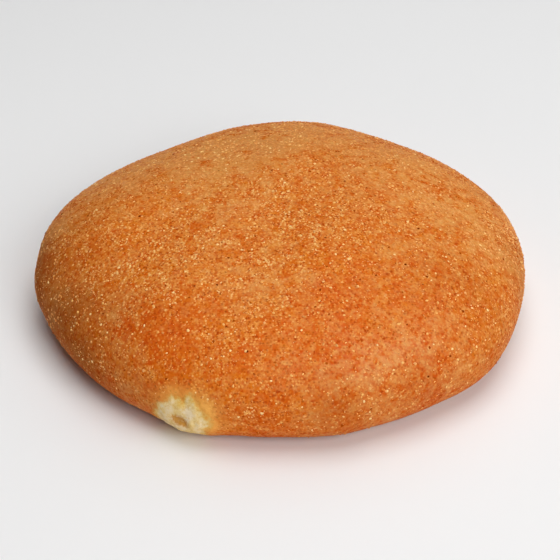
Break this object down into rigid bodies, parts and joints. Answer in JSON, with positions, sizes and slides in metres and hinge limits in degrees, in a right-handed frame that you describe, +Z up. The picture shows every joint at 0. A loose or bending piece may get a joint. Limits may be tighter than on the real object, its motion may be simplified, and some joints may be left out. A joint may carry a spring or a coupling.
{
  "type": "round loaf",
  "caption": "Low round loaf of bread with a domed, browned crust dusted with coarse semolina, a flat base to rest on, and a pale torn patch of crumb low on one side.",
  "frame": {"origin": "on the flat base, in the middle of the round that the outline is drawn about", "axes": "+Z up through the dome; -Y is the side that has the torn patch, and +X is to the right when that side faces the viewer"},
  "size_m": [0.1801, 0.1795, 0.0478],
  "materials": {
    "crust": "dry browned bread crust with a faint sheen, paler where it is torn",
    "semolina": "pale coarse grains of semolina, dusted over the crust",
    "toasted_semolina": "golden coarse grains of semolina, toasted on the crust",
    "bran": "dark specks of bran"
  },
  "bodies": {
    "root": {"loaf": "crust"}
  },
  "joints": []
}
